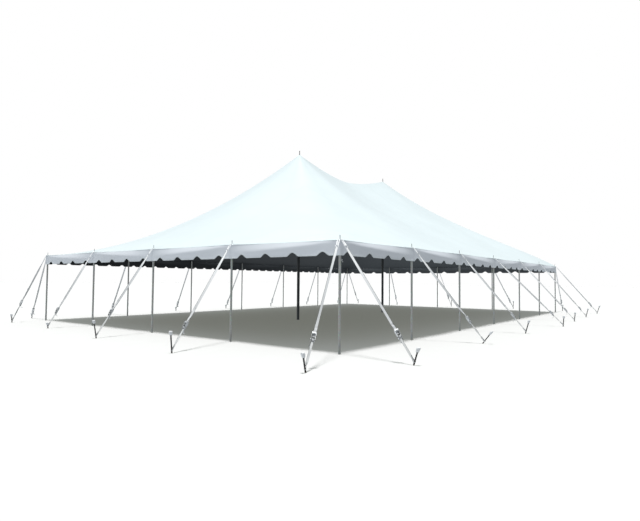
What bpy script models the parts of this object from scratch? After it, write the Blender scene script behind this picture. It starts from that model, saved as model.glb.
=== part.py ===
"""Event tent: a white pole tent six bays long and four bays wide, with two peaks, guys and stakes.

Metres, +Z up. The origin is on the ground under the middle of the whole outline, guys included, +X runs
along the long side, and the front is the long side at -Y. The left end is at -X. The front guys reach
further than the back ones, so the middle of the tent stands PLAN_Y behind the origin.
"""

import math

import bmesh
import bpy
from mathutils import Matrix, Vector
from mathutils.bvhtree import BVHTree

# Plan
BAY = 3.048
LONG_BAYS = 6
SHORT_BAYS = 4
HALF_X = BAY * LONG_BAYS / 2
HALF_Y = BAY * SHORT_BAYS / 2
PEAK_X = BAY
PLAN_Y = 0.265
STEPS_PER_BAY = 4

# Heights of the tent top
EAVE_Z = 2.240
CORNER_DROP = 0.020
PEAK_Z = 6.075
RIDGE_SAG = 0.526
RIDGE_POWER = 1.96
EAVE_DIP = 0.015
DIP_REACH = 0.60

# Slope curves: the share of the height that is left at the distance s from the peak, 0 to 1, is
# steep * (1 - s) ** 4 + (1 - steep) * (1 - s) ** power
MIDDLE_SLOPE = (0.11, 1.175)
LEFT_HIP = (0.00, 1.850)
RIGHT_HIP = (0.205, 0.966)
HIP_SOFTNESS = 1.35
RING_SHARES = (0.0, 0.06, 0.14, 0.25, 0.38, 0.54, 0.72, 0.89)

# Fabric
EDGE = 0.045
HEM_BAND = 0.090
TOP_THICKNESS = 0.010
VALANCE_THICKNESS = 0.008
VALANCE_HEIGHT = 0.332
GAP = 0.0003

# Notches in the valance's lower edge: how many to a bay, and the width and height of each
NOTCHES = (4, 0.32, 0.080)
BACK_NOTCHES = (6, 0.21, 0.055)

# Poles
SIDE_POLE_R = 0.0255
SIDE_PIN_R = 0.008
SIDE_PIN_TOP = 0.092
SIDE_HOLE_R = 0.011
CENTRE_POLE_R = 0.051
CENTRE_PIN_R = 0.0125
CENTRE_PIN_TOP = 0.145
CENTRE_HOLE_R = 0.016

# Guys, one row each: how far the foot stands from its pole along the side, towards +X or +Y, and outwards,
# then the share of the guy's length where the ratchet sits, and the stake's outward lean in degrees and its
# height. The front and back go from left to right, the left and right ends from front to back, and each list
# starts and ends at a corner.
FRONT_GUYS = (
    (-0.23, 1.69, 0.800, 17.0, 0.310),
    (0.51, 1.55, 0.785, 37.0, 0.297),
    (0.55, 1.68, 0.805, 15.5, 0.376),
    (0.65, 2.02, 0.835, 4.4, 0.348),
    (0.29, 1.87, 0.840, 5.7, 0.340),
    (0.13, 1.79, 0.865, 13.1, 0.368),
    (0.19, 1.75, 0.830, 17.7, 0.388),
)
BACK_GUYS = (
    (0.12, 1.35, 0.900, 8.0, 0.190),
    (0.18, 1.49, 0.870, 8.0, 0.190),
    (0.23, 1.36, 0.870, 8.0, 0.190),
    (0.21, 1.35, 0.870, 8.0, 0.190),
    (0.40, 1.26, 0.870, 8.0, 0.190),
    (0.47, 1.19, 0.870, 8.0, 0.190),
    (0.54, 1.09, 0.870, 8.0, 0.190),
)
LEFT_GUYS = (
    (-0.72, 1.93, 0.800, 13.6, 0.320),
    (-0.50, 1.97, 0.800, 5.0, 0.430),
    (-0.14, 1.62, 0.755, 9.7, 0.437),
    (0.15, 1.23, 0.800, 10.0, 0.170),
    (-0.13, 1.10, 0.740, 6.5, 0.280),
)
RIGHT_GUYS = (
    (-0.01, 1.55, 0.800, 13.6, 0.320),
    (-0.50, 1.97, 0.800, 5.0, 0.430),
    (-0.14, 1.62, 0.755, 9.7, 0.437),
    (0.15, 1.23, 0.800, 10.0, 0.170),
    (-0.13, 1.10, 0.740, 6.5, 0.280),
)
TAB_LENGTH = 0.105
TAB_WIDTH = 0.046
RING_R = 0.030
RING_WIRE_R = 0.005
STRAP_WIDTH = 0.050
STRAP_THICKNESS = 0.006
LOWER_WIDTH = 0.040
BUCKLE_LENGTH = 0.195
BUCKLE_WIDTH = 0.073
BUCKLE_DEPTH = 0.034
SPOOL_R = 0.020
SPOOL_LENGTH = 0.088

# Stakes
STAKE_R = 0.015
CAP_R = 0.036
CAP_FOOT_R = 0.026
CAP_HEIGHT = 0.085
STRAP_ON_STAKE = 0.055

# Colours as linear red, green and blue, with roughness and metallic
LOOKS = {
    "white vinyl": ((0.86, 0.90, 0.92), 0.45, 0.0),
    "galvanised pole": ((0.22, 0.24, 0.23), 0.45, 0.9),
    "dark centre pole": ((0.012, 0.015, 0.015), 0.50, 0.3),
    "white webbing and dark steel": ((0.80, 0.82, 0.81), 0.75, 0.0),
}


def clear_scene():
    """Takes away every object that the file starts with."""
    for obj in list(bpy.data.objects):
        bpy.data.objects.remove(obj, do_unlink=True)


def new_collection(name):
    collection = bpy.data.collections.new(name)
    bpy.context.scene.collection.children.link(collection)
    return collection


def material(name):
    """A Principled material with the look's colour, roughness and metallic value."""
    found = bpy.data.materials.get(name)
    if found:
        return found
    colour, roughness, metallic = LOOKS[name]
    mat = bpy.data.materials.new(name)
    mat.use_nodes = True
    shader = mat.node_tree.nodes["Principled BSDF"]
    shader.inputs["Base Color"].default_value = (*colour, 1.0)
    shader.inputs["Roughness"].default_value = roughness
    shader.inputs["Metallic"].default_value = metallic
    mat.diffuse_color = (*colour, 1.0)
    return mat


def plan_middle():
    """The empty that carries every piece, at the middle of the tent's plan."""
    found = bpy.data.objects.get("plan_middle")
    if found:
        return found
    empty = bpy.data.objects.new("plan_middle", None)
    empty.location = (0.0, PLAN_Y, 0.0)
    bpy.context.scene.collection.objects.link(empty)
    return empty


def mesh_object(name, mesh, collection, look=None):
    obj = bpy.data.objects.new(name, mesh)
    obj.parent = plan_middle()
    collection.objects.link(obj)
    if look:
        mesh.materials.append(material(look))
    return obj


def as_cutter(obj):
    obj.hide_render = True
    obj.display_type = "WIRE"
    return obj


def evaluated_mesh(obj):
    """A new mesh of the object as its modifiers leave it."""
    graph = bpy.context.evaluated_depsgraph_get()
    return bpy.data.meshes.new_from_object(obj.evaluated_get(graph))


def share_left(distance, curve):
    """The share of the height that is left at this distance from the peak."""
    steep, power = curve
    rest = max(0.0, 1.0 - distance)
    return steep * rest ** 4 + (1.0 - steep) * rest ** power


def eave_height(along, half):
    """The height of the eave at a place along a side, with its dip between the poles."""
    from_corner = half - abs(along)
    part = (from_corner / BAY) % 1.0
    dip = EAVE_DIP * 4.0 * part * (1.0 - part)
    corner = CORNER_DROP * max(0.0, 1.0 - from_corner / BAY)
    return EAVE_Z - dip - corner


def top_height(x, y):
    """The height of the tent top's upper face over a point of the plan."""
    run = HALF_Y + EDGE
    out_x = max(abs(x) - PEAK_X, 0.0) / (HALF_X - PEAK_X + EDGE)
    out_y = abs(y) / run
    distance = min(max(out_x, out_y), 1.0)
    towards_hip = (min(out_x, out_y) / max(out_x, out_y, 1e-9)) ** HIP_SOFTNESS
    hip = LEFT_HIP if x < 0 else RIGHT_HIP
    share = share_left(distance, MIDDLE_SLOPE) * (1.0 - towards_hip) + share_left(distance, hip) * towards_hip
    ridge = PEAK_Z - RIDGE_SAG * (1.0 - min(abs(x) / PEAK_X, 1.0) ** RIDGE_POWER)
    if out_y >= out_x:
        eave = eave_height(max(-HALF_X, min(HALF_X, x)), HALF_X)
    else:
        eave = eave_height(max(-HALF_Y, min(HALF_Y, y)), HALF_Y)
    fade = math.exp(-(1.0 - distance) * run / DIP_REACH)
    low = EAVE_Z + (eave - EAVE_Z) * fade
    return low + (ridge - EAVE_Z) * share


def edge_points():
    """The points of the eave, all round, from the front left corner, and the place on the spine of each."""
    points = []
    long_steps = LONG_BAYS * STEPS_PER_BAY
    short_steps = SHORT_BAYS * STEPS_PER_BAY
    for i in range(long_steps):
        points.append((-HALF_X + i * BAY / STEPS_PER_BAY, -HALF_Y))
    for i in range(short_steps):
        points.append((HALF_X, -HALF_Y + i * BAY / STEPS_PER_BAY))
    for i in range(long_steps):
        points.append((HALF_X - i * BAY / STEPS_PER_BAY, HALF_Y))
    for i in range(short_steps):
        points.append((-HALF_X, HALF_Y - i * BAY / STEPS_PER_BAY))
    return points


def make_tent_top(collection, cutters):
    """The fabric top: rings of points between the spine and the eave, thickened downwards and pierced for pins.

    Beyond the peaks the lines of points run from a peak to the eave, and between them they run straight
    across. Blender has no primitive for a stretched membrane, so its faces are set between the rings.
    """
    bm = bmesh.new()
    shares = (*RING_SHARES, 1.0 - HEM_BAND / (HALF_Y + EDGE), 1.0)
    rings = []
    for share in shares:
        ring = []
        for x, y in edge_points():
            spine_x = max(-PEAK_X, min(PEAK_X, x))
            far_x = x + math.copysign(EDGE, x) if abs(x) >= HALF_X - 1e-6 else x
            far_y = y + math.copysign(EDGE, y) if abs(y) >= HALF_Y - 1e-6 else y
            px = spine_x + (far_x - spine_x) * share
            py = far_y * share
            ring.append(bm.verts.new((px, py, top_height(px, py))))
        rings.append(ring)
    count = len(rings[0])
    for inner, outer in zip(rings, rings[1:]):
        for i in range(count):
            j = (i + 1) % count
            bm.faces.new((inner[i], outer[i], outer[j], inner[j]))
    bmesh.ops.remove_doubles(bm, verts=bm.verts, dist=0.0001)
    bmesh.ops.triangulate(bm, faces=bm.faces)
    bmesh.ops.recalc_face_normals(bm, faces=bm.faces)
    mesh = bpy.data.meshes.new("tent_top")
    bm.to_mesh(mesh)
    bm.free()
    mesh.shade_smooth()
    top = mesh_object("tent_top", mesh, collection, "white vinyl")
    thick = top.modifiers.new("fabric thickness", "SOLIDIFY")
    thick.thickness = TOP_THICKNESS
    thick.offset = -1.0
    thick.use_even_offset = True
    holes = bmesh.new()
    for x, y, radius in pin_places():
        place = Matrix.Translation((x, y, top_height(x, y)))
        bmesh.ops.create_cone(holes, cap_ends=True, segments=8, radius1=radius, radius2=radius,
                              depth=0.5, matrix=place)
    hole_mesh = bpy.data.meshes.new("pin_holes")
    holes.to_mesh(hole_mesh)
    holes.free()
    cutter = as_cutter(mesh_object("pin_holes", hole_mesh, cutters))
    cut = top.modifiers.new("pin holes", "BOOLEAN")
    cut.operation = "DIFFERENCE"
    cut.object = cutter
    return top


def pole_places():
    """Name, place and whether it is a corner, for each side pole."""
    places = []
    for side, y in (("front", -HALF_Y), ("back", HALF_Y)):
        for end, x in (("left", -HALF_X), ("right", HALF_X)):
            places.append((f"{side}_{end}_corner_pole", x, y))
        for i in range(1, LONG_BAYS):
            places.append((f"{side}_pole_{i}", -HALF_X + i * BAY, y))
    for end, x in (("left", -HALF_X), ("right", HALF_X)):
        for i in range(1, SHORT_BAYS):
            places.append((f"{end}_pole_{i}", x, -HALF_Y + i * BAY))
    return places


def pin_places():
    """The holes in the fabric: place and radius."""
    places = [(x, y, SIDE_HOLE_R) for _, x, y in pole_places()]
    places.append((-PEAK_X, 0.0, CENTRE_HOLE_R))
    places.append((PEAK_X, 0.0, CENTRE_HOLE_R))
    return places


def notch_lift(along, notches):
    """How far the valance's lower edge rises at a place along the side: a smooth hump at each notch."""
    to_a_bay, width, height = notches
    pitch = BAY / to_a_bay
    off = (along % pitch) - pitch / 2
    if abs(off) >= width / 2:
        return 0.0
    return height * math.cos(math.pi * off / width) ** 1.5


def make_valance(name, half, reach, turn, offset, notches, collection):
    """One side's valance: a flat outline with a notched lower edge, stood upright along its side."""
    outline = []
    steps = round(2 * half / BAY) * STEPS_PER_BAY
    low = EAVE_Z - VALANCE_HEIGHT
    top_gap = TOP_THICKNESS + GAP
    outline.append((-reach, low))
    to_a_bay, width, _ = notches
    pitch = BAY / to_a_bay
    for i in range(round(2 * half / pitch)):
        middle = -half + (i + 0.5) * pitch
        for part in (-0.5, -0.36, -0.20, 0.0, 0.20, 0.36, 0.5):
            u = part * width
            outline.append((middle + u, low + notch_lift(middle + u + half, notches)))
    outline.append((reach, low))
    for i in range(steps, -1, -1):
        along = -half + i * BAY / STEPS_PER_BAY
        place = max(-reach, min(reach, along))
        if i in (0, steps):
            place = math.copysign(reach, along)
        outline.append((place, eave_height(along, half) - top_gap))
    curve = bpy.data.curves.new(name, "CURVE")
    curve.dimensions = "2D"
    curve.fill_mode = "BOTH"
    curve.extrude = VALANCE_THICKNESS / 2
    spline = curve.splines.new("POLY")
    spline.points.add(len(outline) - 1)
    for point, (u, v) in zip(spline.points, outline):
        point.co = (u, v, 0.0, 1.0)
    spline.use_cyclic_u = True
    curve.materials.append(material("white vinyl"))
    obj = bpy.data.objects.new(name, curve)
    obj.parent = plan_middle()
    collection.objects.link(obj)
    upright = Matrix.Rotation(math.radians(90), 4, "X")
    obj.matrix_basis = Matrix.Rotation(turn, 4, "Z") @ Matrix.Translation((0.0, -offset, 0.0)) @ upright
    return obj


def turned(name, profile, segments, x, y, look, collection):
    """A piece turned about its own upright axis from a profile that runs from the top down."""
    mesh = bpy.data.meshes.new(name)
    bm = bmesh.new()
    verts = [bm.verts.new((r, 0.0, z)) for r, z in profile]
    for a, b in zip(verts, verts[1:]):
        bm.edges.new((a, b))
    bm.to_mesh(mesh)
    bm.free()
    obj = mesh_object(name, mesh, collection, look)
    obj.location = (x, y, 0.0)
    screw = obj.modifiers.new("turn", "SCREW")
    screw.steps = segments
    screw.render_steps = segments
    screw.use_merge_vertices = True
    screw.merge_threshold = 0.0001
    screw.use_smooth_shade = True
    return obj


def under_fabric(tree, x, y, radius):
    """The lowest height of the fabric's underside over a disc, measured by looking up from its rim."""
    lowest = math.inf
    for i in range(16):
        angle = 2 * math.pi * i / 16
        start = Vector((x + radius * math.cos(angle), y + radius * math.sin(angle), 1.0))
        hit = tree.ray_cast(start, Vector((0.0, 0.0, 1.0)))[0]
        if hit:
            lowest = min(lowest, hit.z)
    return lowest


def make_poles(tree, collection):
    """Side and centre poles: a straight tube with a foot, a shoulder under the fabric and a pin through it."""
    for name, x, y in pole_places():
        head = under_fabric(tree, x, y, SIDE_POLE_R) - GAP
        r = SIDE_POLE_R
        pin_top = top_height(x, y) + SIDE_PIN_TOP
        profile = [(0.0, pin_top), (SIDE_PIN_R, pin_top - 0.004), (SIDE_PIN_R, head), (r, head), (r, 0.0),
                   (0.0, 0.0)]
        turned(name, profile, 12, x, y, "galvanised pole", collection)
    for end, x in (("left", -PEAK_X), ("right", PEAK_X)):
        r = CENTRE_POLE_R
        neck = CENTRE_PIN_R + 0.008
        shoulder = under_fabric(tree, x, 0.0, r) - GAP
        head = under_fabric(tree, x, 0.0, neck) - GAP
        pin_top = PEAK_Z + CENTRE_PIN_TOP
        profile = [(0.0, pin_top), (CENTRE_PIN_R, pin_top - 0.010), (CENTRE_PIN_R, head), (neck, head),
                   (r, shoulder), (r, 0.0), (0.0, 0.0)]
        turned(f"centre_pole_{end}", profile, 20, x, 0.0, "dark centre pole", collection)


def slanted_box(start, end, across, deep):
    """A box whose length runs from start to end, with the given cross vectors, so its ends stay upright."""
    bm = bmesh.new()
    bmesh.ops.create_cube(bm, size=1.0)
    along = end - start
    middle = (start + end) / 2
    rows = [(along[i], across[i], deep[i], middle[i]) for i in range(3)]
    bmesh.ops.transform(bm, matrix=Matrix((*rows, (0.0, 0.0, 0.0, 1.0))), verts=bm.verts)
    bmesh.ops.recalc_face_normals(bm, faces=bm.faces)
    return bm


def leaning_post(base, top, low_radius, high_radius, segments):
    """A round post that leans like a cut one: both its ends stay level."""
    bm = bmesh.new()
    bmesh.ops.create_cone(bm, cap_ends=True, segments=segments, radius1=low_radius, radius2=high_radius,
                          depth=1.0)
    axis = top - base
    middle = (base + top) / 2
    rows = ((1.0, 0.0, axis.x, middle.x), (0.0, 1.0, axis.y, middle.y), (0.0, 0.0, axis.z, middle.z))
    bmesh.ops.transform(bm, matrix=Matrix((*rows, (0.0, 0.0, 0.0, 1.0))), verts=bm.verts)
    return bm


def cross_rod(middle, axis, radius, length, segments):
    """A rod of the given length about its middle."""
    bm = bmesh.new()
    turn = axis.to_track_quat("Z", "Y").to_matrix().to_4x4()
    bmesh.ops.create_cone(bm, cap_ends=True, segments=segments, radius1=radius, radius2=radius, depth=length,
                          matrix=Matrix.Translation(middle) @ turn)
    return bm


def flat_ring(middle, axis_along, axis_across, radius, wire):
    """A round ring of square wire that lies in the plane of the two axes."""
    bm = bmesh.new()
    normal = axis_along.cross(axis_across).normalized()
    sections = []
    for i in range(8):
        angle = 2 * math.pi * (i + 0.5) / 8
        out = axis_along * math.cos(angle) + axis_across * math.sin(angle)
        here = middle + out * radius
        corners = ((out, normal), (out, -normal), (-out, -normal), (-out, normal))
        sections.append([bm.verts.new(here + (a + b) * wire) for a, b in corners])
    for i, section in enumerate(sections):
        following = sections[(i + 1) % len(sections)]
        for j in range(4):
            k = (j + 1) % 4
            bm.faces.new((section[j], section[k], following[k], following[j]))
    bmesh.ops.recalc_face_normals(bm, faces=bm.faces)
    return bm


def joined(name, solids, collection, cutters, look):
    """One body made of the given solids by Boolean union."""
    pieces = []
    for i, bm in enumerate(solids):
        mesh = bpy.data.meshes.new(f"{name}_{i}")
        bm.to_mesh(mesh)
        bm.free()
        pieces.append(mesh_object(f"{name}_{i}", mesh, cutters))
    body = pieces[0]
    for piece in pieces[1:]:
        union = body.modifiers.new("join", "BOOLEAN")
        union.operation = "UNION"
        union.object = piece
    mesh = evaluated_mesh(body)
    mesh.name = name
    for piece in pieces:
        bpy.data.objects.remove(piece, do_unlink=True)
    return mesh_object(name, mesh, collection, look)


def make_guy(name, pole, outward, sideways, faces, row, half, collection, cutters):
    """One guy end to end: tab and ring at the eave, strap, ratchet buckle, lower strap and the stake.

    outward and sideways are the level directions away from the side and along it. faces is the level direction
    that the strap's broad side is turned to: outward, or along the corner's diagonal. row is the guy's own row.
    """
    drift, reach, buckle_at, lean_degrees, stake_height = row
    eave = eave_height(pole.dot(sideways), half)
    start = pole + outward * (EDGE + GAP)
    start.z = eave - STRAP_THICKNESS / 2 - 0.001
    ground = pole + outward * reach + sideways * drift
    lean = Vector((0.0, 0.0, 1.0)) + outward * math.tan(math.radians(lean_degrees))
    end = ground + lean * STRAP_ON_STAKE
    whole = end - start
    along = whole.normalized()
    side = Vector((0.0, 0.0, 1.0)).cross(faces).normalized()
    deep = Vector((0.0, 0.0, STRAP_THICKNESS))
    ring_middle = start + along * (TAB_LENGTH + RING_R)
    ring_across = (side - along * side.dot(along)).normalized()
    strap_start = ring_middle + along * (RING_R - RING_WIRE_R)
    buckle = start + whole * buckle_at
    face = along.cross(ring_across).normalized()
    face = face if face.z > 0 else -face
    solids = [
        slanted_box(strap_start, buckle, side * STRAP_WIDTH, deep),
        slanted_box(start, start + along * (TAB_LENGTH + RING_WIRE_R), sideways * TAB_WIDTH, deep),
        flat_ring(ring_middle, along, ring_across, RING_R, RING_WIRE_R),
        slanted_box(buckle, end, side * LOWER_WIDTH, deep * 0.9),
        slanted_box(buckle - along * BUCKLE_LENGTH / 2, buckle + along * BUCKLE_LENGTH / 2,
                    ring_across * BUCKLE_WIDTH, face * BUCKLE_DEPTH),
        cross_rod(buckle + along * BUCKLE_LENGTH * 0.22 + face * BUCKLE_DEPTH * 0.35, ring_across,
                  SPOOL_R, SPOOL_LENGTH, 8),
    ]
    top = ground + lean * stake_height
    cap_base = ground + lean * (stake_height - CAP_HEIGHT)
    shaft_top = ground + lean * (stake_height - CAP_HEIGHT / 2)
    solids.append(leaning_post(ground, shaft_top, STAKE_R, STAKE_R, 8))
    solids.append(leaning_post(cap_base, top, CAP_FOOT_R, CAP_R, 10))
    return joined(name, solids, collection, cutters, "white webbing and dark steel")


def make_guys(collection, cutters):
    """Two guys at each corner, one for each of its sides, and one at every pole between corners."""
    x_axis = Vector((1.0, 0.0, 0.0))
    y_axis = Vector((0.0, 1.0, 0.0))
    sides = (
        ("front", -y_axis, x_axis, HALF_Y, HALF_X, FRONT_GUYS),
        ("back", y_axis, x_axis, HALF_Y, HALF_X, BACK_GUYS),
        ("left", -x_axis, y_axis, HALF_X, HALF_Y, LEFT_GUYS),
        ("right", x_axis, y_axis, HALF_X, HALF_Y, RIGHT_GUYS),
    )
    for side, outward, sideways, across, half, rows in sides:
        for i, row in enumerate(rows):
            pole = outward * across + sideways * (-half + i * BAY)
            name = f"{side}_guy_{i}"
            faces = outward
            if i in (0, len(rows) - 1):
                near = "front" if pole.y < 0 else "back"
                end = "left" if pole.x < 0 else "right"
                name = f"{near}_{end}_corner_guy_{side}"
                faces = Vector((math.copysign(1.0, pole.x), math.copysign(1.0, pole.y), 0.0))
            make_guy(name, pole, outward, sideways, faces, row, half, collection, cutters)


def main():
    clear_scene()
    collection = new_collection("Event tent")
    cutters = new_collection("Cutters")
    top = make_tent_top(collection, cutters)
    bpy.context.view_layer.update()
    fabric = bmesh.new()
    fabric.from_mesh(evaluated_mesh(top))
    tree = BVHTree.FromBMesh(fabric)
    fabric.free()
    plane = EDGE - VALANCE_THICKNESS / 2 - 0.002
    inner = EDGE - VALANCE_THICKNESS - 0.002 - GAP
    long_reach = HALF_X + EDGE - 0.002
    short_reach = HALF_Y + inner
    make_valance("valance_front", HALF_X, long_reach, 0.0, HALF_Y + plane, NOTCHES, collection)
    make_valance("valance_back", HALF_X, long_reach, math.pi, HALF_Y + plane, BACK_NOTCHES, collection)
    make_valance("valance_left", HALF_Y, short_reach, -math.pi / 2, HALF_X + plane, NOTCHES, collection)
    make_valance("valance_right", HALF_Y, short_reach, math.pi / 2, HALF_X + plane, NOTCHES, collection)
    make_poles(tree, collection)
    make_guys(collection, cutters)


main()
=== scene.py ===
"""Event tent, the detailed model: a white pole tent with two peaks, on poles, webbing guys and ground stakes.

Metres, +Z up, the ground at 0, +X along the long side and the front at -Y. Places in the plan are measured
from the middle of the tent, which stands behind the origin because the front guys reach further than the back
ones.
"""
import math
from functools import partial
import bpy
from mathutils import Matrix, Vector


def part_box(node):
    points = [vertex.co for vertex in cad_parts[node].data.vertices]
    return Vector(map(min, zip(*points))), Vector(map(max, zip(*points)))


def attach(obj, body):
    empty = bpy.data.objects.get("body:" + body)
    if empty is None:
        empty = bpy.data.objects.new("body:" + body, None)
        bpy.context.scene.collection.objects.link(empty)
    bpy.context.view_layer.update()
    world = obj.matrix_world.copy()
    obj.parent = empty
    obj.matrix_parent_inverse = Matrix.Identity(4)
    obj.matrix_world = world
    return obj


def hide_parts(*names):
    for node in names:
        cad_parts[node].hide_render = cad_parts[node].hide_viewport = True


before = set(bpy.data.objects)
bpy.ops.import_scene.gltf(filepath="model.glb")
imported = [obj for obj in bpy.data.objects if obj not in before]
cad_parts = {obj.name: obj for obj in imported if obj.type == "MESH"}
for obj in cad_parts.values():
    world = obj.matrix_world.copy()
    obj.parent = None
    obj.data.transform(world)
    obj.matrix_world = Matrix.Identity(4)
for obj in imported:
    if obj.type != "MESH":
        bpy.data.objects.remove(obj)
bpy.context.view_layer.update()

from types import SimpleNamespace

import bmesh
import bpy
import numpy as np
from bpy.props import FloatProperty, FloatVectorProperty, IntProperty, PointerProperty
from bpy.types import Operator, Panel, PropertyGroup
from mathutils import Matrix, Vector

bl_info = {
    "name": "Event Tent",
    "version": (1, 0, 0),
    "blender": (4, 5, 0),
    "location": "3D View > Sidebar > Tent",
    "description": "Makes a white pole tent with two peaks, valances, poles, webbing guys and ground stakes",
    "category": "Add Mesh",
}

X, Y, UP = np.eye(3)


def node_middle(node):
    """The middle of a CAD node's box, level with the ground."""
    low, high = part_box(node)
    return np.array([(low.x + high.x) / 2, (low.y + high.y) / 2, 0.0])


FRONT_LEFT = node_middle("front_left_corner_pole")
BACK_RIGHT = node_middle("back_right_corner_pole")
MIDDLE = (FRONT_LEFT + BACK_RIGHT) / 2
HALF_X, HALF_Y = (float(v) for v in (BACK_RIGHT - MIDDLE)[:2])

CENTRE_POLES = ["centre_pole_left", "centre_pole_right"]
SIDE_POLES = [f"{a}_{b}_corner_pole" for a in ("front", "back") for b in ("left", "right")]
SIDE_POLES += [f"{side}_pole_{i}" for side in ("front", "back") for i in range(1, 6)]
SIDE_POLES += [f"{side}_pole_{i}" for side in ("left", "right") for i in range(1, 4)]

# Each side: the directions out from it and along it, the distance out to its poles, and half its length.
SIDES = {"front": (-Y, X, HALF_Y, HALF_X), "back": (Y, X, HALF_Y, HALF_X),
         "left": (-X, Y, HALF_X, HALF_Y), "right": (X, Y, HALF_X, HALF_Y)}

# Each guy in one row: how far its foot stands from its pole along its side and outwards, the share of its
# length where the ratchet sits, its stake's outward lean in degrees and its height, and the webbing's twist
# between its ends in degrees. The front and back run from left to right, the two ends from front to back, and
# each starts and ends at a corner. A twist above 0 turns the front's broad sides to the left, and the ends'
# to the front.
GUYS = {
    "front": ((-0.23, 1.69, 0.800, 17.0, 0.310, 8.0), (0.51, 1.55, 0.785, 37.0, 0.297, 56.0),
              (0.55, 1.68, 0.805, 15.5, 0.376, 50.0), (0.65, 2.02, 0.835, 4.4, 0.348, 60.0),
              (0.29, 1.87, 0.840, 5.7, 0.340, 46.0), (0.13, 1.79, 0.865, 13.1, 0.368, 58.0),
              (0.19, 1.75, 0.830, 17.7, 0.388, -22.0)),
    "back": ((0.12, 1.35, 0.900, 8.0, 0.190, -36.0), (0.18, 1.49, 0.870, 8.0, 0.190, -25.0),
             (0.23, 1.36, 0.870, 8.0, 0.190, -14.0), (0.21, 1.35, 0.870, 8.0, 0.190, -30.0),
             (0.40, 1.26, 0.870, 8.0, 0.190, -18.0), (0.47, 1.19, 0.870, 8.0, 0.190, -27.0),
             (0.54, 1.09, 0.870, 8.0, 0.190, 16.0)),
    "left": ((-0.72, 1.93, 0.800, 13.6, 0.320, 32.0), (-0.50, 1.97, 0.800, 5.0, 0.430, 48.0),
             (-0.14, 1.62, 0.755, 9.7, 0.437, 60.0), (0.15, 1.23, 0.800, 10.0, 0.170, 54.0),
             (-0.13, 1.10, 0.740, 6.5, 0.280, -42.0)),
    "right": ((-0.01, 1.55, 0.800, 13.6, 0.320, -14.0), (-0.50, 1.97, 0.800, 5.0, 0.430, -26.0),
              (-0.14, 1.62, 0.755, 9.7, 0.437, 18.0), (0.15, 1.23, 0.800, 10.0, 0.170, -22.0),
              (-0.13, 1.10, 0.740, 6.5, 0.280, 20.0)),
}

# The slopes' curves, as share_left takes them, how closely a hip keeps its own curve, and the ridge's sag.
MIDDLE_SLOPE, LEFT_HIP, RIGHT_HIP = (0.11, 1.175), (0.0, 1.850), (0.205, 0.966)
HIP_POWER, RIDGE_POWER = 2.2, 1.60
# How far up the slope the eave's dips fade, and the fabric's straight flap below the eave's roll.
DIP_REACH, FLAP = 0.60, 0.008
# The CAD's clearance, which a guy starts from and a valance hangs under.
GAP, HANG_GAP = 0.0003, 0.0005
# The height below the eave over which the drape is measured, and how the swelling leans to one pole.
DRAPE_STEP, SWELL_POWER = 0.100, 0.7
# How far a valance runs past its corner poles, by half its length, and the width of its grid's columns.
PAST_CORNER, VALANCE_STEP = {HALF_X: 0.0402, HALF_Y: 0.0380}, 0.0212
# How high the webbing's loop lies on the stake, the width of the tabs, and a ratchet's sheet of steel.
LOOP_HEIGHT, TAB_WIDTH, PLATE = 0.055, 0.026, 0.0028
# A ratchet's spool: how far it is past the ratchet's own place on the guy, and how far outwards.
SPOOL, SPOOL_OUT = 0.043, 0.012

CAMERA_PLACE = (-17.0758, -11.3651, 1.4007)
CAMERA_YAW, CAMERA_PITCH, CAMERA_ROLL = (math.radians(v) for v in (37.195, 2.405, 0.465))


def linear(code):
    """An sRGB hex value as linear red, green and blue."""
    parts = np.array([int(code[i:i + 2], 16) for i in (1, 3, 5)]) / 255.0
    curved = ((parts + 0.055) / 1.055) ** 2.4
    return tuple(float(v) for v in np.where(parts <= 0.04045, parts / 12.92, curved))


def metres(name, description, default):
    """A property for a length in metres."""
    return FloatProperty(name=name, description=description, default=default, unit="LENGTH", min=0.0)


def tint(name, description, code):
    """A property for a colour, with an sRGB hex value as its default."""
    return FloatVectorProperty(name=name, description=description, default=linear(code), subtype="COLOR",
                               size=3, min=0.0, max=1.0)


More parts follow.
